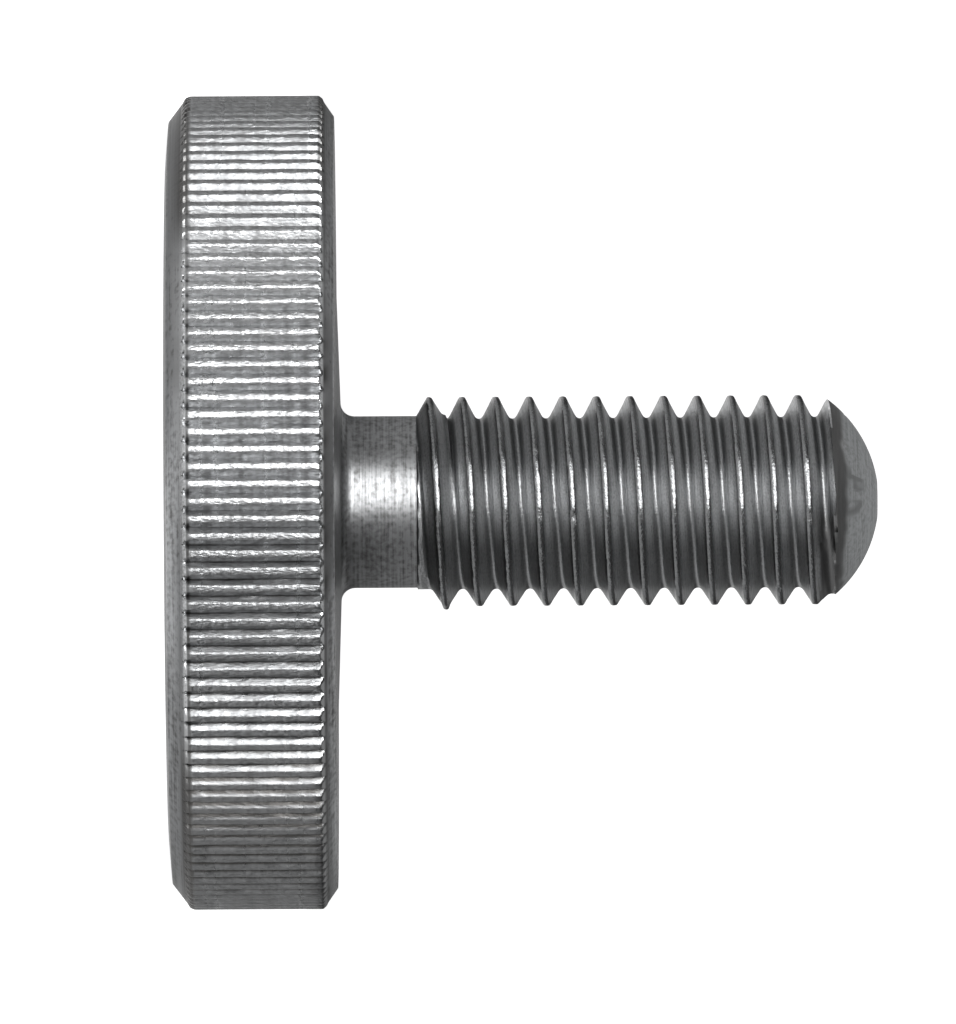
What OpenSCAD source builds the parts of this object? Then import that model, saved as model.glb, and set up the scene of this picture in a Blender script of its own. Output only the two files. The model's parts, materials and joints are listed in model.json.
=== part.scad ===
// Knurled thumb screw with a flat head, thread size M8 x 20.
// One piece: turned from steel bar, knurled on the rim of the head, with a rolled thread.
// It stands on its head. The outer face of the head is at z = 0 and the screw points up, along +Z.
// The thread is drawn as a plain cylinder over its crests.

/* [Head] */
// Diameter over the crests of the knurl
head_d = 30.3; // [24:0.1:40]
// Thickness of the head
head_h = 6.25; // [4:0.05:12]
// Width of the outer chamfer, across the face
outer_chamfer_w = 0.95; // [0.4:0.05:2]
// Height of the outer chamfer, along the axis
outer_chamfer_h = 0.72; // [0.3:0.01:1.5]
// Width of the chamfer under the head, across the face
under_chamfer_w = 0.78; // [0.4:0.01:2]
// Height of the chamfer under the head, along the axis
under_chamfer_h = 0.54; // [0.3:0.01:1.5]
// How far the underside rises from its flat ring to the neck
under_rise = 0.2; // [0:0.05:0.5]
// Diameter at which that rise starts
under_rise_d = 18.8; // [12:0.2:20]
// Width of the slight slope between the outer face and its chamfer
face_ease_w = 1.3; // [0.5:0.1:3]
// Height of that slope
face_ease_h = 0.1; // [0.02:0.01:0.3]

/* [Knurl] */
// Number of straight grooves round the rim
knurl_teeth = 148; // [100:2:180]
// Depth of a groove
knurl_depth = 0.22; // [0.1:0.01:0.3]
// Angle between the two flanks of a groove
knurl_angle = 90; // [70:5:100]

/* [Neck] */
// Diameter of the plain neck under the head
neck_d = 6.4; // [5:0.1:7.4]
// Length of the neck, from the head to the shoulder of the thread
neck_l = 3; // [1:0.1:6]
// Radius of the fillet where the neck meets the head
neck_fillet = 0.5; // [0.1:0.05:0.8]

/* [Thread] */
// Diameter over the crests of the thread
thread_d = 7.81; // [7.6:0.01:8.5]
// Length of the screw under the head
shank_l = 20.15; // [15:0.05:40]
// Angle of the shoulder where the thread starts, from the plane of the head
shoulder_angle = 30; // [20:5:60]
// Radius of the domed end
dome_r = 4.65; // [4:0.05:8]
// Diameter of the small flat on the domed end
tip_flat_d = 1.4; // [0.5:0.1:3]

/* [Hidden] */
$fn = 96;

head_r = head_d / 2;
neck_r = neck_d / 2;
thread_r = thread_d / 2;
tip_z = head_h + shank_l;

// The underside's rise is a low cone, and the fillet against the neck is tangent to both.
rise_r = under_rise_d / 2;
rise_angle = atan(under_rise / (rise_r - neck_r));
fillet_r = neck_r + neck_fillet;
fillet_z = head_h + (rise_r - fillet_r) * tan(rise_angle) + neck_fillet / cos(rise_angle);
fillet_foot_r = fillet_r - neck_fillet * sin(rise_angle);
fillet_foot_z = fillet_z - neck_fillet * cos(rise_angle);

// The thread's shoulder climbs from the neck to the crest diameter.
shoulder_z = head_h + neck_l;
shoulder_h = (thread_r - neck_r) * tan(shoulder_angle);

// The dome's sphere is centred on the axis, and the flat on its end sets how high.
dome_z = tip_z - sqrt(pow(dome_r, 2) - pow(tip_flat_d / 2, 2));

// The flanks of the knurl meet at the groove's root and, past the rim, at a sharp edge
// that the turned head never reaches. What is left between two grooves is the crest.
knurl_root_r = head_r - knurl_depth;
knurl_half_step = 180 / knurl_teeth;
knurl_edge_r = knurl_root_r * sin(knurl_angle / 2) / sin(knurl_angle / 2 - knurl_half_step);
tool_clear = 1;

thumb_screw();

// The whole screw: the turned blank, less the grooves that the knurling wheel presses in
module thumb_screw() {
  color("#8d9094")
    difference() {
      turned_blank();
      knurl_grooves();
    }
}

// Everything that the lathe makes, as one outline turned round the axis
module turned_blank() {
  rotate_extrude() {
    head_outline();
    neck_outline();
    thread_outline();
  }
}

// Half of the head's section: flat outer face, its slope and chamfer, rim, under-chamfer,
// and the underside with its rise to the neck
module head_outline() {
  outer_r = head_r - outer_chamfer_w;
  polygon([
    [0, 0],
    [outer_r - face_ease_w, 0],
    [outer_r, face_ease_h],
    [head_r, face_ease_h + outer_chamfer_h],
    [head_r, head_h - under_chamfer_h],
    [head_r - under_chamfer_w, head_h],
    [rise_r, head_h],
    [fillet_foot_r, fillet_foot_z],
    [0, fillet_foot_z]
  ]);
}

// Half of the neck's section, with its fillet against the underside of the head
module neck_outline() {
  square([neck_r, shoulder_z]);
  difference() {
    square([fillet_foot_r, fillet_z]);
    translate([fillet_r, fillet_z])
      circle(r = neck_fillet);
  }
}

// Half of the threaded end's section: shoulder, crest line and dome, cut off flat at the tip
module thread_outline() {
  intersection() {
    polygon([
      [0, shoulder_z],
      [neck_r, shoulder_z],
      [thread_r, shoulder_z + shoulder_h],
      [thread_r, tip_z],
      [0, tip_z]
    ]);
    union() {
      square([thread_r, dome_z]);
      translate([0, dome_z])
        circle(r = dome_r);
    }
  }
}

// All the knurl's grooves at once: a ring round the head with a saw-toothed hole
module knurl_grooves() {
  translate([0, 0, -tool_clear])
    linear_extrude(head_h + 2 * tool_clear)
      difference() {
        circle(r = head_r + tool_clear);
        polygon([
          for (i = [0 : 2 * knurl_teeth - 1])
            let (r = i % 2 == 0 ? knurl_root_r : knurl_edge_r, a = i * knurl_half_step)
              [r * cos(a), r * sin(a)]
        ]);
      }
}
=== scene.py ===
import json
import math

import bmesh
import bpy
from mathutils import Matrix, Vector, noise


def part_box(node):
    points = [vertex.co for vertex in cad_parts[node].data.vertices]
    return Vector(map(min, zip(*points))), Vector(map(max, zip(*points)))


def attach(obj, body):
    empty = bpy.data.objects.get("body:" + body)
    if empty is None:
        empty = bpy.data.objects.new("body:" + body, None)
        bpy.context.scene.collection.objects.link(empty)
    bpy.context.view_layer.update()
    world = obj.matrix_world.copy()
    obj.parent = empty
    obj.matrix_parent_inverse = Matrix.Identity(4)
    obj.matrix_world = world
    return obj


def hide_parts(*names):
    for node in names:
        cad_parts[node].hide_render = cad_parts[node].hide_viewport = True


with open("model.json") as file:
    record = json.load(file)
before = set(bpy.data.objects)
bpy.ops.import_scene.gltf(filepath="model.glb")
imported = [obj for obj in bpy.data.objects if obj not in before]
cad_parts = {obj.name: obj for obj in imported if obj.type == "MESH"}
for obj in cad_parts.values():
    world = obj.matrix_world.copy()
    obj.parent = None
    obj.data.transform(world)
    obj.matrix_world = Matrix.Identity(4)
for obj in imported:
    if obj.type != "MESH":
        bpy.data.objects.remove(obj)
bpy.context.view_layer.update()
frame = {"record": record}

# %% [markdown]
# A knurled thumb screw, M8 x 20. On the real object one bar of steel is turned in a lathe,
# a hard toothed wheel presses straight grooves into the rim of the head, and two dies roll
# the thread. Here the whole screw is one mesh too. Each step below follows the maker's:
# spin an outline, press the knurl, wind the thread, then give each surface the marks
# that its own tool left.

MM = 0.001
low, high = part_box("thumb_screw")
mounts = {m["name"]: m for m in frame["record"]["mounts"]}
# The rim stays this much inside the solid's box, so that rounding can't push it out.
KEEP_INSIDE = 0.001
head_r = min(high.x, -low.x) / MM - KEEP_INSIDE
tip_z = high.z / MM
under_z = mounts["head_underside"]["pos_m"][2] / MM
thread_r = mounts["thread"]["dims"]["r_mm"]
print("head radius, underside, tip and thread radius in mm:", head_r, under_z, tip_z, thread_r)

# %% [markdown]
# The screw stands on its head, which is how it stays put on a table. The camera looks at it
# from the side and is rolled a quarter turn, so the tip points right in the picture. It stands
# 0.7 m away, opposite the thread's first turn, and is turned slightly to bring the whole
# screw to the middle. That hides the head's faces and still shows both chamfers, and the
# far stand keeps the thread's crests from leaning.

# %% Camera
# In metres, pixels per mm, pixels and mm
CAMERA_DISTANCE = 0.7
PIXELS_PER_MM = 26.85
PICTURE_HEIGHT = 1024
SENSOR = 36.0
# The camera's height and the point on the screw that it aims at, in mm
CAMERA_Z = 9.8
AIM_X = 0.394
AIM_Z = 11.53
ROLL_TIP_UP = math.radians(0.32)

picture_mm = PICTURE_HEIGHT / PIXELS_PER_MM
camera_data = bpy.data.cameras.new("side_camera")
camera_data.sensor_width = SENSOR
camera_data.lens = SENSOR * CAMERA_DISTANCE / MM / picture_mm
camera_data.clip_end = 10
camera = bpy.data.objects.new("side_camera", camera_data)
bpy.context.scene.collection.objects.link(camera)
bpy.context.scene.camera = camera

yaw = math.asin((CAMERA_Z - AIM_Z) * MM / CAMERA_DISTANCE)
back = Vector((0, -math.cos(yaw), math.sin(yaw)))
up = Vector((-1, 0, 0))
right = up.cross(back)
turn = Matrix((right, up, back)).transposed().to_4x4()
aim = Vector((AIM_X, 0, AIM_Z)) * MM
camera.matrix_world = (
    Matrix.Translation(aim + back * CAMERA_DISTANCE) @ turn @ Matrix.Rotation(-ROLL_TIP_UP, 4, "Z")
)
print("lens in mm:", round(camera_data.lens, 1))


# %% [markdown]
# Colours are written as sRGB hex values, as a paint program shows them, and one function
# turns them to the linear values that Blender calculates with. A second function adds a
# node, sets what it is told to set and links what it is told to link.

# %% Helpers for materials
def linear(hex_colour):
    """A colour like "#8d9094" as the linear RGBA that shaders take."""
    parts = [int(hex_colour[i : i + 2], 16) / 255 for i in (1, 3, 5)]
    return [c / 12.92 if c <= 0.04045 else ((c + 0.055) / 1.055) ** 2.4 for c in parts] + [1.0]


def add_node(tree, kind, inputs=None, **settings):
    """Adds one node. inputs maps a socket to a value or to another node's output."""
    node = tree.nodes.new(kind)
    for name, value in settings.items():
        setattr(node, name, value)
    for socket, value in (inputs or {}).items():
        if isinstance(value, bpy.types.NodeSocket):
            tree.links.new(value, node.inputs[socket])
        else:
            node.inputs[socket].default_value = value
    return node


def empty_material(name):
    """A material whose node tree holds nothing yet."""
    material = bpy.data.materials.new(name)
    material.use_nodes = True
    material.node_tree.nodes.clear()
    return material


# %% [markdown]
# A white studio floor and a white card far behind. Lamps alone would leave such a white grey
# at the edges. So for the camera and for reflections part of it is a glow of its own, which
# keeps the background even, and the rest is lit by the lamps, so the floor still takes the
# screw's shadow. The dim grey world only keeps the darkest folds from going black.

# %% Floor, card and world
WHITE = "#f2f2f2"
GLOW = 0.9


def studio_white(name):
    """Matt white that also glows, though only for the camera and in reflections."""
    material = empty_material(name)
    tree = material.node_tree
    rays = add_node(tree, "ShaderNodeLightPath")
    seen = add_node(tree, "ShaderNodeMath", {0: rays.outputs["Is Camera Ray"],
                    1: rays.outputs["Is Glossy Ray"]}, operation="MAXIMUM")
    seen = add_node(tree, "ShaderNodeMath", {0: seen.outputs[0],
                    1: rays.outputs["Is Transmission Ray"]}, operation="MAXIMUM")
    strength = add_node(tree, "ShaderNodeMath", {0: seen.outputs[0], 1: GLOW},
                        operation="MULTIPLY")
    glow = add_node(tree, "ShaderNodeEmission", {"Color": linear("#ffffff"),
                    "Strength": strength.outputs[0]})
    matt = add_node(tree, "ShaderNodeBsdfDiffuse", {"Color": linear(WHITE)})
    both = add_node(tree, "ShaderNodeAddShader", {0: glow.outputs[0], 1: matt.outputs[0]})
    add_node(tree, "ShaderNodeOutputMaterial", {"Surface": both.outputs[0]})
    return material


def stage_plane(name, size, place):
    """A square of studio white, marked as not being part of the object."""
    bm = bmesh.new()
    bmesh.ops.create_grid(bm, x_segments=1, y_segments=1, size=size / 2, matrix=place)
    mesh = bpy.data.meshes.new(name)
    bm.to_mesh(mesh)
    bm.free()
    plane = bpy.data.objects.new(name, mesh)
    bpy.context.scene.collection.objects.link(plane)
    mesh.materials.append(studio_white(name + "_white"))


FLOOR_SIZE = 5.0
CARD_SIZE = 0.3
CARD_DISTANCE = 1.7
stage_plane("floor", FLOOR_SIZE, Matrix.Identity(4))
upright = Matrix.Rotation(math.pi / 2, 4, "X")
stage_plane("card", CARD_SIZE, Matrix.Translation((0, CARD_DISTANCE, 0)) @ upright)

WORLD_GREY = 0.17
world = bpy.data.worlds.new("studio")
world.use_nodes = True
background = world.node_tree.nodes["Background"]
background.inputs["Color"].default_value = (WORLD_GREY, WORLD_GREY, WORLD_GREY, 1)
bpy.context.scene.world = world
bpy.context.scene.view_settings.view_transform = "Standard"
print("stage: floor", FLOOR_SIZE, "m, card", CARD_SIZE, "m, world grey", WORLD_GREY)


# %% [markdown]
# Polished metal shows its lamps more than its own colour. One large soft lamp stands near the
# camera, a little above it in the picture, and its reflection is the bright line on each
# knurl flank and thread crest that faces the viewer. Three weak ones stand behind the screw
# and fill the rest. One is above it in the picture, for the upper rim and the chamfers, one
# is below it, and one is beyond the tip, for the underside and the crests' far sides.

# %% Lamps
def soft_lamp(name, place, size, watts):
    """A soft lamp at a place in metres that faces the middle of the screw."""
    data = bpy.data.lights.new(name, "AREA")
    data.shape = "RECTANGLE"
    data.size, data.size_y = size
    data.energy = watts
    lamp = bpy.data.objects.new(name, data)
    lamp.location = place
    lamp.rotation_euler = (aim - Vector(place)).to_track_quat("-Z", "Y").to_euler()
    lamp.visible_camera = False
    bpy.context.scene.collection.objects.link(lamp)


# Each row: name, place in metres, width and height in metres, watts
LAMPS = (
    ("front_lamp", (-0.170, -0.575, 0.06), (0.47, 0.5), 11.3),
    ("side_lamp", (-0.7, 0.2, 0.1), (0.8, 0.8), 0.85),
    ("low_lamp", (0.6, 0.35, 0.15), (0.6, 0.6), 0.18),
    ("top_lamp", (0.0, 0.4, 0.5), (0.8, 0.8), 1.5),
)
for row in LAMPS:
    soft_lamp(*row)
print("lamps:", len(LAMPS), "with", sum(row[3] for row in LAMPS), "W in all")

# %% [markdown]
# The head. On the lathe it is a flat disc with a chamfer on both edges. Half of its outline
# is drawn once, as a chain of points, and spun round the axis. The spin has ten steps to
# each tooth of the knurl, so that the grooves can be pressed in afterwards by moving points.
# The outline stops on the underside at the circle where the flat seat ends.

# %% Helpers for turned shapes
def between(a, b, count):
    """Points from a to b in equal steps, both ends included."""
    return [tuple(p + (q - p) * i / count for p, q in zip(a, b)) for i in range(count + 1)]


def chain(bm, points):
    """Joins (radius, height) points into a chain of edges in the XZ plane."""
    verts = [bm.verts.new((r, 0, z)) for r, z in points]
    return verts + [bm.edges.new(pair) for pair in zip(verts, verts[1:])]


def spin(bm, geom, turns, steps, rise=0.0, copy=False):
    """Spins geometry round the screw's axis, lifting it by rise mm over the whole spin."""
    bmesh.ops.spin(bm, geom=geom, cent=(0, 0, 0), axis=(0, 0, 1), dvec=(0, 0, rise / steps),
                   angle=2 * math.pi * turns, steps=steps, use_duplicate=copy)


def everything(bm):
    """All points, edges and faces of a mesh."""
    return bm.verts[:] + bm.edges[:] + bm.faces[:]


# %% Outline of the head
# Widths across the face and heights along the axis, in mm
OUTER_CHAMFER = (0.95, 0.72)
UNDER_CHAMFER = (0.78, 0.54)
FACE_EASE = (1.3, 0.1)
RISE_R = 9.4
GROOVE_DEPTH = 0.22
# The grooves run out on the chamfers over a band a little wider than they are deep.
RUN_OUT_SHARE = 1.3
# Steps across the rim and over each run-out
RIM_ROWS = 17
CHAMFER_ROWS = 5
# How far above the rim's lower border two more rows lie, and how far from the lower and the
# upper border the even rows keep, in mm
BORDER_ROWS = (0.04, 0.12)
RIM_ROWS_FROM = 0.2
RIM_ROWS_TO = 0.08
# Each chamfer is divided into this many parts, and has points only at the ends of the one
# that is farthest from the rim.
CHAMFER_PARTS = 12

outer_slope = OUTER_CHAMFER[1] / OUTER_CHAMFER[0]
under_slope = UNDER_CHAMFER[1] / UNDER_CHAMFER[0]
rim_low = FACE_EASE[1] + OUTER_CHAMFER[1]
rim_high = under_z - UNDER_CHAMFER[1]
run_out = GROOVE_DEPTH * RUN_OUT_SHARE

face_edge = (head_r - OUTER_CHAMFER[0] - FACE_EASE[0], 0.0)
outer_edge = (head_r - OUTER_CHAMFER[0], FACE_EASE[1])
lower_run_out = (head_r - run_out, rim_low - run_out * outer_slope)
lower_border = (head_r, rim_low)
upper_border = (head_r, rim_high)
upper_run_out = (head_r - run_out, rim_high + run_out * under_slope)
underside_edge = (head_r - UNDER_CHAMFER[0], under_z)
seat_edge = (RISE_R, under_z)

head_outline = [face_edge] + between(outer_edge, lower_border, CHAMFER_PARTS)[:2]
head_outline += between(lower_run_out, lower_border, CHAMFER_ROWS)
head_outline += [(head_r, rim_low + up) for up in BORDER_ROWS]
head_outline += between((head_r, rim_low + RIM_ROWS_FROM), (head_r, rim_high - RIM_ROWS_TO), RIM_ROWS)
head_outline += between(upper_border, upper_run_out, CHAMFER_ROWS)
head_outline += between(upper_border, underside_edge, CHAMFER_PARTS)[-2:] + [seat_edge]
print("head's outline:", len(head_outline), "points, rim from", rim_low, "to", rim_high, "mm")

# %% Spin the head
TEETH = 148
STEPS_PER_TOOTH = 10
MERGE_MM = 1e-4

# A quarter is spun and then copied three times, because one long spin takes much longer.
screw_bm = bmesh.new()
spin(screw_bm, chain(screw_bm, head_outline), 0.25, TEETH * STEPS_PER_TOOTH // 4)
spin(screw_bm, everything(screw_bm), 0.75, 3, copy=True)
bmesh.ops.remove_doubles(screw_bm, verts=screw_bm.verts, dist=MERGE_MM)
print("head:", len(screw_bm.verts), "points,", len(screw_bm.faces), "faces")

# %% [markdown]
# The knurl. The wheel's teeth push V grooves into the rim, and the metal between two grooves
# stays as a narrow rounded crest. No two grooves come out the same: the spacing wanders, the
# flanks wave a little along their length, and the crests are worn down at both ends. Smooth
# noise gives that unevenness. It is the same in each run, and the fixed numbers in its calls
# only pick different stretches of it.

# %% Form of the knurl
FLANK_SLOPE = 1.05
CREST_ROUND = 0.035
WORN_LENGTH = 0.1
WORN_DEPTH = 0.035
UPPER_WEAR = 0.6
# Unevenness, the first two as shares of the depth and the others in mm
DEPTH_VARIES = 0.07
DEPTH_DRIFTS = 0.06
FLANK_WAVES = 0.03
FLANK_TEARS = 0.022
CREST_DENTS = 0.006


def wave(*where):
    """Smooth noise from -1 to 1 at a place given by up to three numbers."""
    return noise.noise(Vector((list(where) + [0.0, 0.0])[:3]))


def rounded_ramp(x, blend):
    """0 below, x above and a round corner of the blend's width between."""
    return x if x > blend else 0.0 if x < -blend else (x + blend) ** 2 / (4 * blend)


def knurl_radius(tooth, u, z):
    """The radius of the knurl at u mm from the root of a groove, at height z."""
    side = 1 if u > 0 else -1
    uneven = DEPTH_VARIES * wave(tooth * 1.7, 3.1) + DEPTH_DRIFTS * wave(tooth * 3.3, z * 0.9, 7.0)
    waves = FLANK_WAVES * wave(tooth * 2.9, z * 1.3, side * 5.0)
    tears = FLANK_TEARS * wave(tooth * 7.9, z * 3.7, side * 3.0)
    groove = GROOVE_DEPTH * (1 + uneven) - (abs(u) + waves + tears) * FLANK_SLOPE
    at_low_end = max(0.0, 1 - (z - rim_low) / WORN_LENGTH)
    at_high_end = UPPER_WEAR * max(0.0, 1 - (rim_high - z) / WORN_LENGTH)
    wear = min(1.0, at_low_end + at_high_end) ** 2 * (1 + 0.7 * wave(tooth * 4.7, 8.0, side * 0.3))
    dent = max(0.0, CREST_DENTS * wave(tooth * 6.1, z * 2.2, u * 3.0))
    return head_r - rounded_ramp(groove, CREST_ROUND) - WORN_DEPTH * wear - dent


# %% [markdown]
# The metal that the wheel pushes out of a groove stands as a small bead at its end, on the
# chamfer. The beads catch the light as a dotted line beside the knurl. Each one is a little
# hill, a bell curve both across and along the groove, and some grooves have hardly any.

# %% Beads at the grooves' ends
BEAD_HEIGHT = 0.07
BEAD_WIDTH = 0.1
BEAD_LENGTH = 0.06
BEAD_OFF_ROOT = 0.1
BEAD_OUTSIDE = 0.09


def outside_rim(z):
    """How far a height lies outside the rim, along the axis. Below 0 it is on the rim."""
    return max(rim_low - z, z - rim_high)


def bead(tooth, u, z):
    """How far the bead of pushed metal stands out at the end of a groove."""
    size = max(0.0, 0.7 + 0.9 * wave(tooth * 8.3, 1.0 if z > rim_high else 2.0))
    aside = (u + BEAD_OFF_ROOT - 0.03 * wave(tooth * 3.1, 9.0)) / BEAD_WIDTH
    along = (outside_rim(z) - BEAD_OUTSIDE) / BEAD_LENGTH
    return BEAD_HEIGHT * size * math.exp(-(aside**2) - along**2)


# %% [markdown]
# Every point of the spin slides to its place across the tooth and is then pushed in. The
# points crowd at the root and at the edge of the crest, where the form bends. Moving points
# of the spin keeps the rim one clean skin, where cutting 148 grooves would tear it.

# %% Press the knurl
KNURL_TURN = math.radians(1.05)
# Where the points stand from the root to the edge of the crest, in half widths of a groove
POINT_SHARES = (0.0, 0.45, 0.8, 0.98, 1.18)
TOOTH_WANDERS = 0.022
TOOTH_BENDS = 0.012
tooth_pitch = 2 * math.pi * head_r / TEETH
half_groove = GROOVE_DEPTH / FLANK_SLOPE
half_tooth = [half_groove * share for share in POINT_SHARES]
across = half_tooth + [tooth_pitch / 2] + [tooth_pitch - u for u in reversed(half_tooth[1:])]


def press_point(v):
    """Slides one point across its tooth and pushes it in to the knurl's form."""
    steps = TEETH * STEPS_PER_TOOTH
    z = v.co.z
    index = round(math.atan2(v.co.y, v.co.x) * steps / (2 * math.pi)) % steps
    tooth, place = divmod(index, STEPS_PER_TOOTH)
    u = across[place]
    if u > tooth_pitch / 2:
        u -= tooth_pitch
        tooth = (tooth + 1) % TEETH
    wander = TOOTH_WANDERS * wave(tooth * 5.3, 11.0) + TOOTH_BENDS * wave(tooth * 4.1, z * 0.5, 2.0)
    near_root = 1 - abs(u) / (tooth_pitch / 2)
    angle = (tooth * tooth_pitch + u + wander * near_root) / head_r + KNURL_TURN
    old_r = math.hypot(v.co.x, v.co.y)
    new_r = min(head_r, min(old_r, knurl_radius(tooth, u, z)) + bead(tooth, u, z))
    v.co.x = new_r * math.cos(angle)
    v.co.y = new_r * math.sin(angle)


knurl_points = [v for v in screw_bm.verts if math.hypot(v.co.x, v.co.y) >= head_r - run_out * 1.01]
for v in knurl_points:
    press_point(v)
print("knurl:", TEETH, "teeth of", round(tooth_pitch, 3), "mm,", len(knurl_points), "points moved")

# %% [markdown]
# The thread. A rolled thread is one ridge wound round the shank like a rope, so it is made
# the same way: the section of one turn, from root to root, is spun with a lift of one pitch
# for each turn. One turn is spun and the others are copies of it, because one long spin
# takes much longer. The ends of neighbouring turns meet and are merged.

# %% Wind the thread
PITCH = 1.25
ROOT_R = 3.17
CREST_HALF = 0.085
FLANK = math.tan(math.radians(30))
STEPS_PER_TURN = 150
TURNS = 15
TURNS_BELOW = 2
# The height of one crest, where the thread passes over the +X side
CREST_AT_X = 10.325
THREAD_MERGE_MM = 1e-3
ridge_height = thread_r - ROOT_R


def flank_point(share):
    """A point on the straight flank, at a share of the ridge's height down from the crest."""
    return (CREST_HALF + ridge_height * share * FLANK, ridge_height * (1 - share))


# Half of the ridge's section, as (distance along the axis, height over the root) in mm: the
# round of the crest, the straight flank and the round of the root
half_ridge = [(0.0, ridge_height - 0.002), (0.060, ridge_height - 0.005)]
half_ridge += [(0.100, ridge_height - 0.020), (0.135, ridge_height - 0.068)]
half_ridge += [flank_point(share) for share in (0.3, 0.62, 0.82)]
half_ridge += [(PITCH / 2 - 0.13, ridge_height * 0.070), (PITCH / 2 - 0.06, ridge_height * 0.016)]
half_ridge += [(PITCH / 2, 0.0)]
ridge = [(-s, h) for s, h in reversed(half_ridge[1:])] + half_ridge

lowest_crest = CREST_AT_X - TURNS_BELOW * PITCH
thread_bm = bmesh.new()
section = [(ROOT_R + h, lowest_crest + s) for s, h in ridge]
spin(thread_bm, chain(thread_bm, section), 1, STEPS_PER_TURN, rise=PITCH)
spin(thread_bm, everything(thread_bm), TURNS - 1, TURNS - 1, rise=PITCH * (TURNS - 1), copy=True)
bmesh.ops.remove_doubles(thread_bm, verts=thread_bm.verts, dist=THREAD_MERGE_MM)
print("thread:", len(thread_bm.verts), "points,", len(thread_bm.faces), "faces")

# %% [markdown]
# Marks fade in and out round the screw and along it, so a few small curves are needed again
# and again: a peak, an S-shaped step and a window made of two steps.

# %% Helpers that fade
def peak(x, centre, width):
    """1 at the centre, falling to 0 at the width on both sides."""
    return max(0.0, 1 - abs(x - centre) / width)


def smooth_step(low_value, high_value, x):
    """0 below, 1 above and an S curve between."""
    t = max(0.0, min(1.0, (x - low_value) / (high_value - low_value)))
    return t * t * (3 - 2 * t)


def window(x, start, full, fading, end):
    """0 up to start, 1 from full to fading, 0 again from end, and S curves between."""
    return smooth_step(start, full, x) * smooth_step(end, fading, x)


def round_angle(x, y):
    """Degrees round the screw: 0 faces the camera and 90 is up in the picture."""
    return math.degrees(math.atan2(-x, -y))


# %% [markdown]
# The thread starts beyond the neck, where its ridge grows out of a short shoulder, and it
# ends in the dome that was turned before rolling. Each point is pulled in to whichever of
# these surfaces lies nearest the axis. The dies were not quite in step, so one side's roots
# are shallower and a faint seam runs along the shank, and the last groove runs out before
# the dome. The crest also gets the small nicks that handling leaves.

# %% Surfaces of the turned blank
NECK_R = 3.2
NECK_LENGTH = 3.0
SHOULDER_SLOPE = math.tan(math.radians(60))
DOME_R = 4.65
TIP_FLAT_R = 0.7
BLANK_R = 3.26
ROOT_OFF_CENTRE = 0.085
LAST_ROOT_R = 3.42
LAST_ROOT_Z = 24.0
neck_top = under_z + NECK_LENGTH
dome_z = tip_z - math.sqrt(DOME_R**2 - TIP_FLAT_R**2)


def dome_radius(z):
    """The dome's radius at height z."""
    return math.sqrt(max(0.0, DOME_R**2 - max(0.0, z - dome_z) ** 2))


def shoulder_radius(z):
    """The radius of the shoulder that climbs from the end of the neck."""
    return NECK_R + max(0.0, z - neck_top) * SHOULDER_SLOPE


def root_radius(z, crest_z, down):
    """The radius of the thread's roots. down runs from -1, up in the picture, to 1, down in it."""
    run_out_here = smooth_step(LAST_ROOT_Z, LAST_ROOT_Z + 0.4, z) * smooth_step(0.1, 0.7, down)
    full = ROOT_R + ROOT_OFF_CENTRE * down + (LAST_ROOT_R - ROOT_R) * run_out_here
    return BLANK_R + (full - BLANK_R) * smooth_step(neck_top + 0.3, neck_top + 1.0, crest_z)


# %% Trim the thread to the blank
CREST_BAND = 0.16
BURR_HEIGHT = 0.12
SEAM_HEIGHT = 0.03
CREST_WAVES = 0.02


def crest_marks(path, from_crest, crest_z, angle):
    """What rolling and handling added to the crest or took off it, in mm. path is how far
    along the wound crest the point lies."""
    on_crest = max(0.0, 1 - abs(from_crest) / CREST_BAND)
    nick = 0.3 * max(0.0, wave(path * 1.7, 4.0) - 0.45) + 0.02 * abs(wave(path * 4.1, 2.0, from_crest * 9))
    burr = BURR_HEIGHT * peak(crest_z, CREST_AT_X, 0.12) * smooth_step(0.1, 0.5, on_crest)
    seam = SEAM_HEIGHT * (peak(angle, -4, 1.6) - peak(angle, 0, 1.5))
    return burr + on_crest * (seam - nick)


def trim_point(v):
    """Moves one point of the wound ridge in to the turned blank's surface."""
    r = math.hypot(v.co.x, v.co.y)
    z = v.co.z
    turn_share = math.atan2(v.co.y, v.co.x) / (2 * math.pi)
    turns_up = round((z - CREST_AT_X) / PITCH - turn_share)
    crest_z = CREST_AT_X + PITCH * (turns_up + turn_share)
    path = (crest_z - CREST_AT_X) / PITCH * 2 * math.pi * thread_r
    root_r = root_radius(z, crest_z, v.co.x / r)
    grown = smooth_step(neck_top - 0.2, neck_top + 0.4, crest_z)
    height = (thread_r - root_r) / ridge_height * (r - ROOT_R) * grown
    height += crest_marks(path, z - crest_z, crest_z, round_angle(v.co.x, v.co.y))
    new_r = min(root_r + max(0.0, height), shoulder_radius(z), dome_radius(z))
    v.co.x *= new_r / r
    v.co.y *= new_r / r
    v.co.z += CREST_WAVES * max(0.0, 1 - abs(z - crest_z) / CREST_BAND) * wave(path * 0.9, 6.0)


for v in thread_bm.verts:
    trim_point(v)

# %% Cut the thread off at both ends
dome_foot_r = ROOT_R - 0.06
thread_cut_low = neck_top + 0.03
thread_cut_high = dome_z + math.sqrt(DOME_R**2 - dome_foot_r**2)
for cut_z, outward in ((thread_cut_low, -1), (thread_cut_high, 1)):
    bmesh.ops.bisect_plane(thread_bm, geom=everything(thread_bm), dist=1e-5, plane_co=(0, 0, cut_z),
                           plane_no=(0, 0, outward), clear_outer=True)
print("trimmed thread:", len(thread_bm.verts), "points,", len(thread_bm.faces), "faces")


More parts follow.
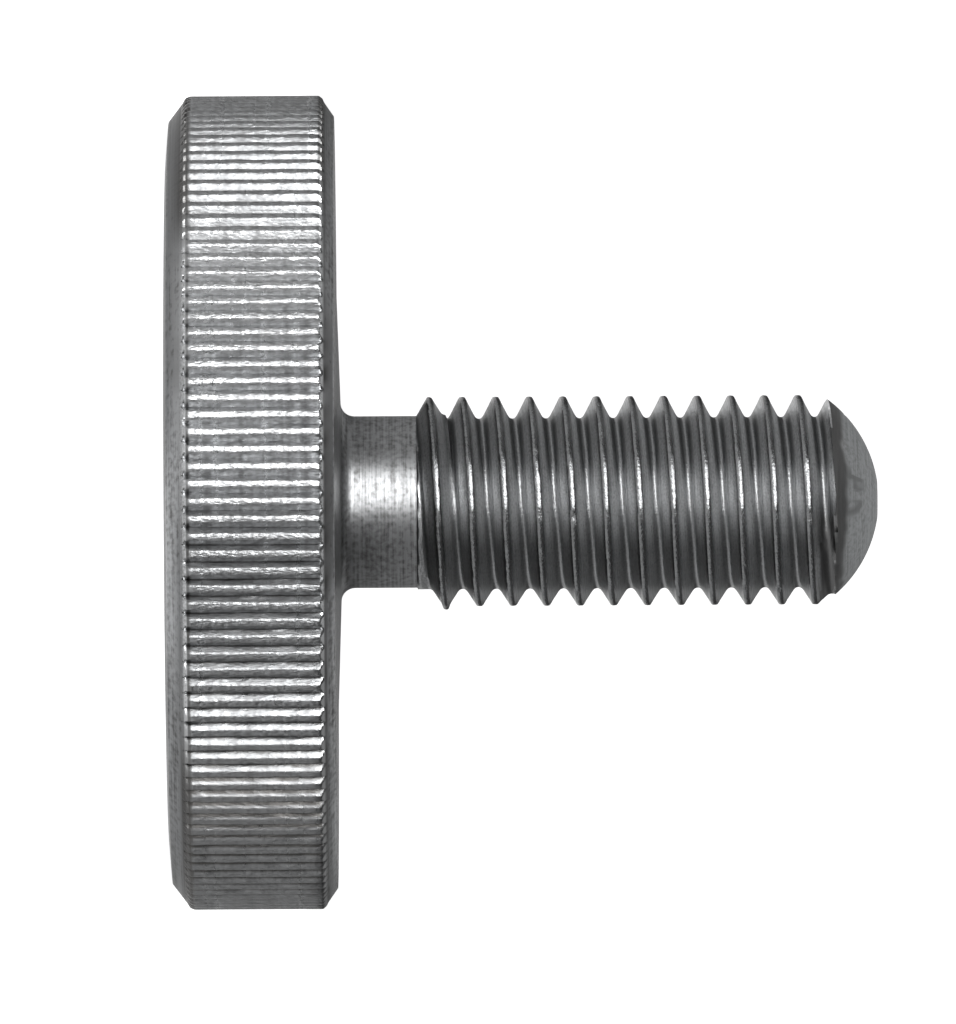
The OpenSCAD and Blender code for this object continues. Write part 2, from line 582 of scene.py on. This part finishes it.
# %% [markdown]
# The neck with its fillet and the domed tip are grown from the thread's two cut edges, ring by
# ring: the edge loop is extruded, moved to the next height and scaled to the next radius.
# So the points of neck, thread and dome line up and no seam is left. The underside rises
# very gently from its flat seat toward the neck, and the fillet meets it at that slope.

# %% Helpers that grow rings
def cut_loop(bm, z):
    """The open edges at height z."""
    return [e for e in bm.edges if e.is_boundary and all(abs(v.co.z - z) < 1e-3 for v in e.verts)]


def grow(bm, loop, rings):
    """Extrudes an edge loop through (radius, height) rings and returns the last loop."""
    for radius, z in rings:
        made = bmesh.ops.extrude_edge_only(bm, edges=loop)["geom"]
        for v in [g for g in made if isinstance(g, bmesh.types.BMVert)]:
            v.co = Vector((v.co.x, v.co.y, 0)).normalized() * radius + Vector((0, 0, z))
        loop = [g for g in made if isinstance(g, bmesh.types.BMEdge) and g.is_boundary
                and all(abs(v.co.z - z) < 1e-3 for v in g.verts)]
    return loop


# %% Grow the neck
NECK_FILLET = 0.5
UNDER_RISE = 0.2
NECK_PARTS = 6
FILLET_PARTS = 8
rise_angle = math.atan(UNDER_RISE / (RISE_R - NECK_R))
fillet_r = NECK_R + NECK_FILLET
fillet_z = under_z + (RISE_R - fillet_r) * math.tan(rise_angle) + NECK_FILLET / math.cos(rise_angle)

# A second ring close to the neck's end keeps the shading of the shoulder off the neck.
neck_rings = [(NECK_R, neck_top)] + between((NECK_R, neck_top - 0.04), (NECK_R, fillet_z), NECK_PARTS)
for i in range(1, FILLET_PARTS + 1):
    a = (math.pi / 2 - rise_angle) * i / FILLET_PARTS
    neck_rings.append((fillet_r - NECK_FILLET * math.cos(a), fillet_z - NECK_FILLET * math.sin(a)))
neck_loop = grow(thread_bm, cut_loop(thread_bm, thread_cut_low), neck_rings)
print("neck:", len(neck_rings), "rings, last loop", len(neck_loop), "edges")

# %% Grow the dome
DOME_PARTS = 16
start_angle = math.asin(dome_foot_r / DOME_R)
end_angle = math.asin(TIP_FLAT_R / DOME_R)
dome_rings = []
for i in range(1, DOME_PARTS + 1):
    a = start_angle + (end_angle - start_angle) * i / DOME_PARTS
    dome_rings.append((DOME_R * math.sin(a), dome_z + DOME_R * math.cos(a)))
# The edge of the small flat is eased over its outer part.
dome_rings += [(TIP_FLAT_R * 0.86, tip_z - 0.002), (TIP_FLAT_R * 0.6, tip_z)]
tip_loop = grow(thread_bm, cut_loop(thread_bm, thread_cut_high), dome_rings)
bmesh.ops.edgeloop_fill(thread_bm, edges=tip_loop)
print("shank:", len(thread_bm.verts), "points, tip loop", len(tip_loop), "edges")

# %% [markdown]
# Head and shank become one skin: the shank is copied into the head's mesh, the gently rising
# part of the underside is bridged from the head's inner edge to the fillet, and the
# outer face is filled.

# %% Join head and shank
part_mesh = bpy.data.meshes.new("shank")
thread_bm.to_mesh(part_mesh)
thread_bm.free()
screw_bm.from_mesh(part_mesh)
bpy.data.meshes.remove(part_mesh)


def ring_at(bm, radius, z):
    """The open edges that lie on one circle."""
    def lies(v):
        return abs(v.co.z - z) < 1e-3 and abs(math.hypot(v.co.x, v.co.y) - radius) < 1e-2
    return [e for e in bm.edges if e.is_boundary and all(lies(v) for v in e.verts)]


head_inner = ring_at(screw_bm, *seat_edge)
neck_foot = ring_at(screw_bm, *neck_rings[-1])
face_rim = ring_at(screw_bm, *face_edge)
print("edges to join:", len(head_inner), len(neck_foot), len(face_rim))
bmesh.ops.bridge_loops(screw_bm, edges=head_inner + neck_foot)
bmesh.ops.edgeloop_fill(screw_bm, edges=face_rim)
bmesh.ops.recalc_face_normals(screw_bm, faces=screw_bm.faces)
open_edges = sum(1 for e in screw_bm.edges if not e.is_manifold)
print("whole screw:", len(screw_bm.verts), "points,", len(screw_bm.faces), "faces, open edges:", open_edges)

# %% [markdown]
# A used screw is not one even grey. The first of three numbers that each point gets darkens
# the steel, from 0, not darkened, to 1, darkest. Part of it is dirt and old oil in the roots
# of the knurl, where a cloth can't reach. The rest is painted shade: the lines in the creases
# beside the knurl, bands on each chamfer and on the knurl's lower side in the picture, the
# last groove and the line round the edge of the dome. The steel will darken with its fifth
# power, so that half-dark flanks stay light. Angles are in degrees round the screw, with 0
# on the camera's side.

# %% Dirt and painted shade on the head
# The middle and the half width of each place where a thumb or a finger holds the head
GRIPS = ((20, 28), (140, 40), (215, 35))
# How far in from the rim the knurl's own band reaches
RIM_BAND = 0.35
# From how far outside the rim the chamfers' painted shade reaches into the knurl's band, in mm
CHAMFER_SHADE_FROM = 0.15


def grip_at(angle):
    """1 where a thumb or finger rubs the knurl and 0 elsewhere."""
    return max(smooth_step(width, width * 0.5, abs((angle - middle + 180) % 360 - 180))
               for middle, width in GRIPS)


def chamfer_shade(z, angle):
    """Painted shade on the two chamfers: the outer one darker over its upper part in the picture, the under
    one in a band in front of the camera.
    """
    if z < rim_low:
        return 0.8 * window(angle, 4, 20, 120, 150)
    return 0.84 * window(angle, -20, -8, 24, 42)


def border_shade(z, angle):
    """Painted shade along the knurl's two borders, darker away from the part that faces the camera."""
    if z < (rim_low + rim_high) / 2:
        return 0.98 * max(smooth_step(2, 50, angle), smooth_step(-2, -46, angle))
    return 0.96 * max(smooth_step(28, 58, angle), 0.9 * smooth_step(4, -26, angle))


def beside_shade(z, angle):
    """Painted shade: the thin dark lines in the creases just outside both borders, and just inside the
    lower one.
    """
    line = (0.95 + 0.15 * wave(angle * 0.3, z)) * peak(outside_rim(z), 0.2, 0.1)
    if z > rim_low + 0.3:
        return line
    inner = (0.9 + 0.15 * wave(angle * 0.5, 3.0)) * min(1.0, 1.5 * peak(outside_rim(z), -0.08, 0.12))
    return max(line, inner)


def knurl_dirt_and_shade(radius, z, angle):
    """Dirt and painted shade in the grooves: darkest in their roots, lighter at the grips and darker on the
    knurl's lower side in the picture, with the painted shade of chamfers and borders.
    """
    over = max(0.0, rim_low - z) / outer_slope + max(0.0, z - rim_high) / under_slope
    worn = WORN_DEPTH * (peak(z, rim_low, WORN_LENGTH) + peak(z, rim_high, WORN_LENGTH))
    deep = min(1.0, max(0.0, head_r - over - worn - radius) / GROOVE_DEPTH)
    # Painted shade: the knurl is darker on its lower side in the picture.
    low_side_shade = window(angle, -150, -120, -51, -26)
    in_groove = deep ** (1 - 0.5 * low_side_shade) * (1 - 0.45 * grip_at(angle) + 0.5 * low_side_shade)
    chamfer_dark = chamfer_shade(z, angle) if outside_rim(z) > CHAMFER_SHADE_FROM else 0.0
    border = border_shade(z, angle) if outside_rim(z) > -0.05 else 0.0
    return min(1.0, max(in_groove, 0.76 * low_side_shade, beside_shade(z, angle), chamfer_dark, border))


# %% Painted shade on the tip
DOME_FOOT = 2.4


def on_dome(radius, z, within):
    """Whether a place lies on the dome, within so many mm."""
    return z > dome_z + DOME_FOOT and abs(math.hypot(radius, z - dome_z) - DOME_R) < within


def dome_shade(radius, angle):
    """Painted shade: a dark line round the dome's edge and a darker patch that runs from it toward
    the camera. The fifth root undoes the steel's fifth power, so that both fade evenly."""
    edge = 3.38 - 0.16 * window(angle, -40, -10, 20, 36) + 0.1 * wave(angle * 0.12, 5.0)
    line = 0.78 * smooth_step(edge - 0.22, edge + 0.04, radius)
    front_patch = window(angle, -16, -8, 18, 28) * smooth_step(2.1, 2.4, radius)
    blotch = smooth_step(-0.25, 0.2, wave(angle * 0.16, radius * 2.5, 4.0) + 0.3 * (radius - 2.5))
    return max(line, 0.5 * front_patch * blotch) ** 0.2


def dirt_and_shade_at(radius, z, angle):
    """From 0, not darkened, to 1, darkest, at a place in mm: dirt in the knurl's roots and painted shade.
    """
    if rim_low - run_out < z < rim_high + run_out and radius > head_r - RIM_BAND:
        return knurl_dirt_and_shade(radius, z, angle)
    if radius > head_r - OUTER_CHAMFER[0] + 0.02 and z < under_z - 0.02:
        return chamfer_shade(z, angle)
    if on_dome(radius, z, 0.02):
        return dome_shade(radius, angle)
    # Painted shade: the last groove is darker on its lower side in the picture.
    if z > LAST_ROOT_Z + 0.2:
        return 0.9 * window(angle, -170, -150, -15, 10)
    return 0.0


# %% [markdown]
# The second number is polish. Crests, beads and the two faces slide on other things and shine
# more than the rest. The third one lightens the steel. Handling bares lighter steel at the
# grips, on the beads and on the thread's flanks, which slide in a nut. On the chamfers it is
# painted light, lighter toward the bottom of the picture, and on the thread's lower side in
# the picture and in the last groove it holds painted shade.

# %% Polish, rubbed steel and painted light
NEAR = 0.01


def polish_at(radius, z, angle):
    """From 0, as the tool left it, to 1, rubbed bright, at a place in mm."""
    if z < neck_top:
        on_face = z < FACE_EASE[1] + NEAR or (radius > fillet_r and z > under_z - NEAR)
        on_beads = radius > head_r - RIM_BAND and 0.02 < outside_rim(z) < 0.15
        return 1.0 if on_face or (on_beads and -30 < angle < 38) else 0.0
    if z > LAST_ROOT_Z + 0.3 and radius > dome_radius(z) - 0.05:
        return 1.0
    on_crest = smooth_step(thread_r - 0.16, thread_r - 0.04, radius)
    in_root = smooth_step(ROOT_R + 0.2, ROOT_R + 0.02, radius)
    return max(on_crest, 0.45 * in_root)


def head_rubbed_and_painted_light(radius, z, angle):
    """How far the steel of the head and the neck is lighter: rubbed on the beads and at the grips, painted
    light on the chamfers.
    """
    if z < under_z - NEAR and radius > head_r - RIM_BAND:
        return 1.0 if 0.0 < outside_rim(z) < 0.13 else 0.48 * grip_at(angle)
    # Painted light: the outer chamfer and the face are lighter on their lower half in the picture.
    if z < rim_low:
        return 0.3 * smooth_step(14, 0, angle) + 0.45 * window(angle, -34, -16, -2, 12)
    # Painted light: the under chamfer is lighter toward the bottom of the picture.
    if z < under_z - NEAR:
        return max(0.3, smooth_step(-2, -24, angle))
    return 0.32 if radius < fillet_r else 0.52


def rubbed_and_painted_light_at(radius, z, angle):
    """1 where the steel is lighter, 0 where it stays dark, at a place in mm: rubbed by handling, with
    painted light on the chamfers and painted shade on the thread's lower side.
    """
    if z < neck_top:
        return head_rubbed_and_painted_light(radius, z, angle)
    above_root = smooth_step(ROOT_R + 0.02, ROOT_R + 0.2, radius)
    below_crest = smooth_step(thread_r - 0.02, thread_r - 0.16, radius)
    # Painted shade: the last groove and the flanks on the thread's lower side in the picture stay darker.
    last_groove_shade = smooth_step(LAST_ROOT_Z, LAST_ROOT_Z + 0.3, z) * smooth_step(30, -10, angle)
    lower_side_shading = 1 - 0.6 * window(angle, -160, -130, -34, -8)
    return above_root * below_crest * lower_side_shading * (1 - last_groove_shade)


# %% Store the three numbers with the mesh
# The first number holds dirt and painted shade, the second only gloss, and the third rubbed steel together
# with painted light and painted shade.
MARKS = {"dirt_and_shade": dirt_and_shade_at, "polish": polish_at, "rubbed_and_painted_light": rubbed_and_painted_light_at}
for mark, mark_at in MARKS.items():
    layer = screw_bm.verts.layers.float.new(mark)
    for v in screw_bm.verts:
        v[layer] = mark_at(math.hypot(v.co.x, v.co.y), v.co.z, round_angle(v.co.x, v.co.y))
    print(mark, "on average", round(sum(v[layer] for v in screw_bm.verts) / len(screw_bm.verts), 3))

# %% [markdown]
# Edges that are folded by more than about a third of a right angle keep a crisp line, and all
# others are shaded smoothly. The edge where the neck ends is crisp all the way round.

# %% Make the piece
CRISP_ANGLE = math.radians(32)
for face in screw_bm.faces:
    face.smooth = True
for edge in screw_bm.edges:
    at_neck_top = all(abs(v.co.z - neck_top) < 1e-3 for v in edge.verts)
    edge.smooth = edge.calc_face_angle(0.0) < CRISP_ANGLE and not at_neck_top
bmesh.ops.scale(screw_bm, vec=(MM, MM, MM), verts=screw_bm.verts)
screw_mesh = bpy.data.meshes.new("turned_thumb_screw")
screw_bm.to_mesh(screw_mesh)
screw_bm.free()
screw = bpy.data.objects.new("turned_thumb_screw", screw_mesh)
bpy.context.scene.collection.objects.link(screw)
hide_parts("thumb_screw")
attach(screw, "root")

# %% [markdown]
# It is plain carbon steel without any plating: a mirror for its surroundings, but a grey one,
# because a thin film of oil and oxide lies on it. Each tool left its own surface. Turning
# leaves fine rings round the axis, seen as faint streaks that run round the neck, the
# chamfers and the tip. The knurling wheel and the thread dies press the metal smooth, so
# knurl and thread shine more, with small tears along them. The streaks are drawn from the
# distance to the axis and the height, so they run round the screw on every surface. Real
# rings are finer than a pixel of the picture, so they are drawn about twice as coarse.

# %% Rings and grain
# Rings are nearly round: this share of the place across the screw lets them wander a little.
RING_WANDER = 0.03
# Stains are patches about eight times as large as the rings are wide.
STAIN_SCALE = 0.12
# The grain of the knurl and the thread is pressed flat in the grooves, where the darkening of dirt and
# painted shade starts.
CALM_FROM_DARKENING = 0.3
CALM_GRAIN = 0.35


def per_size(size_mm, *shares):
    """Scales that make one step of a noise size_mm long, times a share for each direction."""
    return tuple(share / (size_mm * MM) for share in shares)


def tool_marks(tree, rings_mm, rings_along, grain_mm, grain_stretch):
    """The noises that draw the rings, the grain and the stains."""
    place = add_node(tree, "ShaderNodeTexCoord").outputs["Object"]
    axes = add_node(tree, "ShaderNodeSeparateXYZ", {0: place})
    flat = add_node(tree, "ShaderNodeCombineXYZ", {"X": axes.outputs["X"], "Y": axes.outputs["Y"]})
    radius = add_node(tree, "ShaderNodeVectorMath", {0: flat.outputs[0]}, operation="LENGTH")
    turned = add_node(tree, "ShaderNodeCombineXYZ", {"X": radius.outputs["Value"],
                      "Y": axes.outputs["Z"], "Z": axes.outputs["X"]})
    ring_place = add_node(tree, "ShaderNodeVectorMath", {0: turned.outputs[0],
                          1: per_size(rings_mm, 1, rings_along, RING_WANDER)}, operation="MULTIPLY")
    grain_place = add_node(tree, "ShaderNodeVectorMath", {0: place,
                           1: per_size(grain_mm, 1, 1, 1 / grain_stretch)}, operation="MULTIPLY")
    rings = add_node(tree, "ShaderNodeTexNoise", {"Vector": ring_place.outputs[0], "Scale": 1.0,
                     "Detail": 3.0, "Roughness": 0.6})
    grain = add_node(tree, "ShaderNodeTexNoise", {"Vector": grain_place.outputs[0], "Scale": 1.0,
                     "Detail": 2.0})
    stains = add_node(tree, "ShaderNodeTexNoise", {"Vector": ring_place.outputs[0],
                      "Scale": STAIN_SCALE, "Detail": 5.0, "Roughness": 0.7})
    return rings.outputs["Fac"], grain.outputs["Fac"], stains.outputs["Fac"]


def carved(tree, rings, rings_deep_mm, grain, grain_deep_mm, dirt_and_shade):
    """The normal that rings and grain of these depths give."""
    calm = add_node(tree, "ShaderNodeMapRange", {"Value": dirt_and_shade, "From Max": CALM_FROM_DARKENING,
                    "To Min": 1.0, "To Max": CALM_GRAIN})
    ring_bump = add_node(tree, "ShaderNodeBump", {"Height": rings, "Distance": rings_deep_mm * MM,
                         "Strength": 1.0})
    bump = add_node(tree, "ShaderNodeBump", {"Height": grain, "Normal": ring_bump.outputs[0],
                    "Distance": grain_deep_mm * MM, "Strength": calm.outputs[0]})
    return bump.outputs[0]


# %% [markdown]
# Three things darken the steel: dirt and painted shade, faint stains, and the bottoms of rings
# and grain, which hold a little oil. Whichever is strongest at a point wins.

# %% Steel
EDGE_TINT = "#c4c4c4"
# The dark colour of dirt and oil, also used for the painted shade
DIRT_AND_SHADE_COLOUR = "#3c3b3a"
DARKENING_POWER = 5.0


def darkness(tree, dirt_and_shade, rings, grain, stains, score):
    """How much of the steel's colour gives way to the dark colour: dirt, stains, scores and painted shade.
    score is the most that lies in scores.
    """
    shade_and_dirt_share = add_node(tree, "ShaderNodeMath", {0: dirt_and_shade, 1: DARKENING_POWER}, operation="POWER")
    stained = add_node(tree, "ShaderNodeMapRange", {"Value": stains, "From Min": 0.5,
                       "From Max": 0.75, "To Min": 0.0, "To Max": 0.35})
    depth = add_node(tree, "ShaderNodeMath", {0: rings, 1: grain}, operation="ADD")
    scored = add_node(tree, "ShaderNodeMapRange", {"Value": depth.outputs[0], "From Min": 0.85,
                      "From Max": 1.3, "To Min": 0.0, "To Max": score})
    darkened = add_node(tree, "ShaderNodeMath", {0: stained.outputs[0], 1: shade_and_dirt_share.outputs[0]},
                     operation="MAXIMUM")
    darkened = add_node(tree, "ShaderNodeMath", {0: darkened.outputs[0], 1: scored.outputs[0]},
                     operation="MAXIMUM")
    return darkened.outputs[0]


def steel(name, colour, lighter_colour, dull, bright, rings_mm, rings_deep_mm, grain_mm,
          grain_deep_mm, score, rings_along=1.0, grain_stretch=1.0, across=0.0):
    """Bare steel with rings round the axis and a grain. dull and bright are the roughness where
    it is unpolished and polished. rings_along 0 draws rings only where the radius changes, and
    across is how much further light spreads across the rings than along them."""
    material = empty_material(name)
    tree = material.node_tree
    rings, grain, stains = tool_marks(tree, rings_mm, rings_along, grain_mm, grain_stretch)
    dirt_and_shade, polish, rubbed_and_painted_light = (add_node(tree, "ShaderNodeAttribute", attribute_name=mark).outputs["Fac"]
                            for mark in MARKS)
    # The third number mixes in the lighter colour: rubbed steel, and the painted light and shade of
    # chamfers and thread.
    undarkened = add_node(tree, "ShaderNodeMix", {0: rubbed_and_painted_light, 6: linear(colour), 7: linear(lighter_colour)},
                     data_type="RGBA")
    # The dark colour stands for dirt, stains, scores and painted shade.
    shade = add_node(tree, "ShaderNodeMix", {0: darkness(tree, dirt_and_shade, rings, grain, stains, score),
                     6: undarkened.outputs[2], 7: linear(DIRT_AND_SHADE_COLOUR)}, data_type="RGBA")
    gloss = add_node(tree, "ShaderNodeMapRange", {"Value": polish, "To Min": dull, "To Max": bright})
    uneven = add_node(tree, "ShaderNodeMapRange", {"Value": rings, "From Min": 0.3,
                      "From Max": 0.7, "To Min": -0.07, "To Max": 0.07})
    roughness = add_node(tree, "ShaderNodeMath", {0: gloss.outputs[0], 1: uneven.outputs[0]},
                         operation="ADD")
    round_axis = add_node(tree, "ShaderNodeTangent", direction_type="RADIAL", axis="Z")
    shader = add_node(tree, "ShaderNodeBsdfPrincipled", {
        "Base Color": shade.outputs[2], "Metallic": 1.0, "Roughness": roughness.outputs[0],
        "Specular Tint": linear(EDGE_TINT), "Tangent": round_axis.outputs[0],
        "Normal": carved(tree, rings, rings_deep_mm, grain, grain_deep_mm, dirt_and_shade),
        "Anisotropic": across, "Anisotropic Rotation": 0.25})
    add_node(tree, "ShaderNodeOutputMaterial", {"Surface": shader.outputs[0]})
    return material


# %% The four surfaces
# Lighter steel, for rubbed places and for the painted light on the chamfers
LIGHTER_STEEL = "#a2a3a4"
BURNISHED_STEEL = "#bcbdbe"

surfaces = [
    # Turned: satin, because its rings spread the light across them
    steel("turned_steel", "#6e6f70", LIGHTER_STEEL, dull=0.45, bright=0.3, rings_mm=0.1,
          rings_deep_mm=0.007, grain_mm=0.2, grain_deep_mm=0.003, score=0.75, across=0.25),
    # Knurled: pressed smooth, so that whole flanks flash white, with torn and dented crests
    steel("knurled_steel", "#747576", LIGHTER_STEEL, dull=0.32, bright=0.2, rings_mm=0.3,
          rings_deep_mm=0.0, grain_mm=0.09, grain_deep_mm=0.034, score=0.5, grain_stretch=2.5),
    # Rolled: burnished flanks with fine lines along the groove, bright on the crests alone
    steel("rolled_steel", "#626364", BURNISHED_STEEL, dull=0.42, bright=0.24, rings_mm=0.07,
          rings_deep_mm=0.013, grain_mm=0.09, grain_deep_mm=0.012, score=0.5, rings_along=0.0),
    # Cut tip: matt and evenly light, cut last and touched by nothing since
    steel("cut_tip_steel", "#989a9b", LIGHTER_STEEL, dull=0.5, bright=0.5, rings_mm=0.08,
          rings_deep_mm=0.008, grain_mm=0.15, grain_deep_mm=0.004, score=0.45),
]
for material in surfaces:
    screw_mesh.materials.append(material)
TURNED, KNURLED, ROLLED, CUT_TIP = range(len(surfaces))


def surface_at(radius, z):
    """Which of the surfaces lies at a place on the screw, in mm."""
    if z < under_z + NEAR:
        return KNURLED if radius > head_r - 0.3 else TURNED
    if z < neck_top:
        return TURNED
    return CUT_TIP if on_dome(radius, z, 0.03) or z > tip_z - NEAR else ROLLED


for polygon in screw_mesh.polygons:
    x, y, z = polygon.center / MM
    polygon.material_index = surface_at(math.hypot(x, y), z)
for index, material in enumerate(surfaces):
    faces = sum(1 for polygon in screw_mesh.polygons if polygon.material_index == index)
    print(material.name, "on", faces, "faces")

print("triangles:", sum(len(p.vertices) - 2 for p in screw_mesh.polygons))
